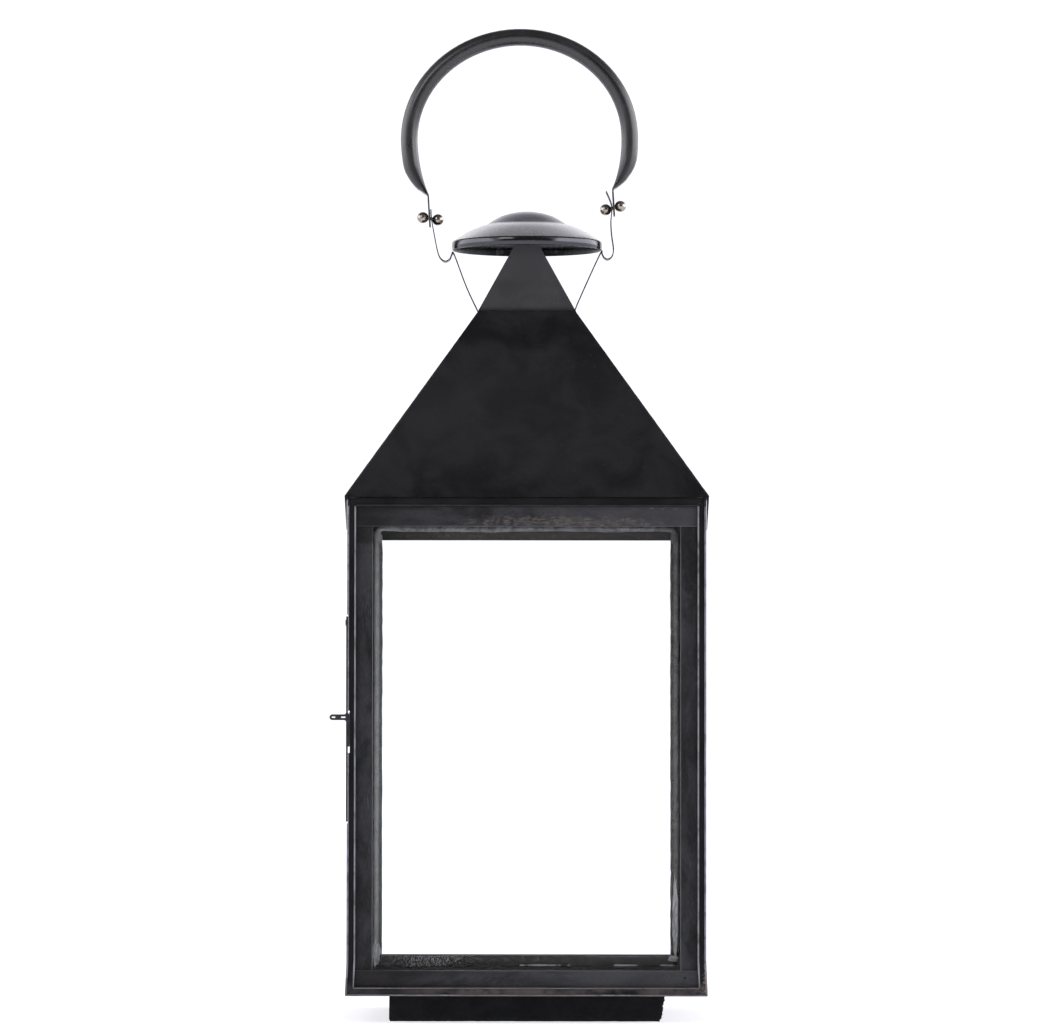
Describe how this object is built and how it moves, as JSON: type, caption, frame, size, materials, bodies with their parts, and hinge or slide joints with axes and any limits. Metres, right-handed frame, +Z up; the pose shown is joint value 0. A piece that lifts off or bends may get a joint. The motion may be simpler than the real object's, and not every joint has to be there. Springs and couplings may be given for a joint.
{
  "type": "candle lantern",
  "caption": "Tall square candle lantern in blackened sheet iron with glass panes, a hinged side door with spring latch, a pyramid roof with vent cap and a swinging hoop handle.",
  "frame": {"origin": "centre of the base pad's underside", "axes": "+Z up; the front pane faces -Y; the door is the -X face and is hinged at its back edge"},
  "size_m": [0.2097, 0.2016, 0.5619],
  "materials": {
    "iron": "satin black patina on folded sheet iron, worn to brown and grey along its edges",
    "roof": "deep satin black patina, slightly mottled",
    "cap": "spun sheet, satin grey-black with a glossy rim",
    "steel": "thin blackened spring steel",
    "nickel": "dark nickel, polished",
    "glass": "clear float glass",
    "putty": "grey silicone glazing bead",
    "foam": "dense matte black foam with a torn edge"
  },
  "bodies": {
    "frame": {"base_pad": "foam", "roof_front": "roof", "roof_right": "roof", "roof_back": "roof", "roof_left": "roof", "cap": "cap", "pivot_rivet_left": "nickel", "pivot_rivet_right": "nickel", "strap_left": "steel", "strap_right": "steel", "hinge_upper_frame_leaf": "steel", "hinge_upper_pin": "steel", "hinge_lower_frame_leaf": "steel", "hinge_lower_pin": "steel", "front_glass": "glass", "right_glass": "glass", "back_glass": "glass", "front_glazing_bead": "putty", "right_glazing_bead": "putty", "back_glazing_bead": "putty", "floor_plate": "iron", "chimney": "iron", "post_front_left": "iron", "post_front_right": "iron", "post_back_left": "iron", "post_back_right": "iron", "bottom_rail_front": "iron", "bottom_rail_right": "iron", "bottom_rail_back": "iron", "bottom_rail_left": "iron", "top_rail_front": "iron", "top_rail_right": "iron", "top_rail_back": "iron", "top_rail_left": "iron", "front_strip_bottom": "iron", "front_strip_top": "iron", "front_strip_left": "iron", "front_strip_right": "iron", "right_strip_bottom": "iron", "right_strip_top": "iron", "right_strip_left": "iron", "right_strip_right": "iron", "back_strip_bottom": "iron", "back_strip_top": "iron", "back_strip_left": "iron", "back_strip_right": "iron"},
    "door": {"hinge_upper_door_leaf": "steel", "hinge_lower_door_leaf": "steel", "door_glass": "glass", "door_glazing_bead": "putty", "door_strip_bottom": "iron", "door_strip_top": "iron", "door_strip_left": "iron", "door_strip_right": "iron", "latch_spacer": "steel", "latch_rivet": "steel"},
    "latch": {"latch_spring": "steel"},
    "handle": {"handle": "iron"}
  },
  "joints": [
    {"name": "handle_swing", "type": "hinge", "parent": "frame", "child": "handle", "pos_m": [-0.003, 0, 0.4563], "axis": [0.9982, 0, 0.0595], "range_deg": [-145, 145]},
    {"name": "door_hinge", "type": "hinge", "parent": "frame", "child": "door", "pos_m": [-0.1009, 0.09395, 0.1527], "axis": [0, 0, -1], "range_deg": [0, 160]},
    {"name": "latch_flex", "type": "hinge", "parent": "door", "child": "latch", "pos_m": [-0.09935, -0.0984, 0.221], "axis": [0, 1, 0], "range_deg": [0, 4], "stiffness_Nm_per_rad": 1.5, "springref_deg": -1.72}
  ]
}
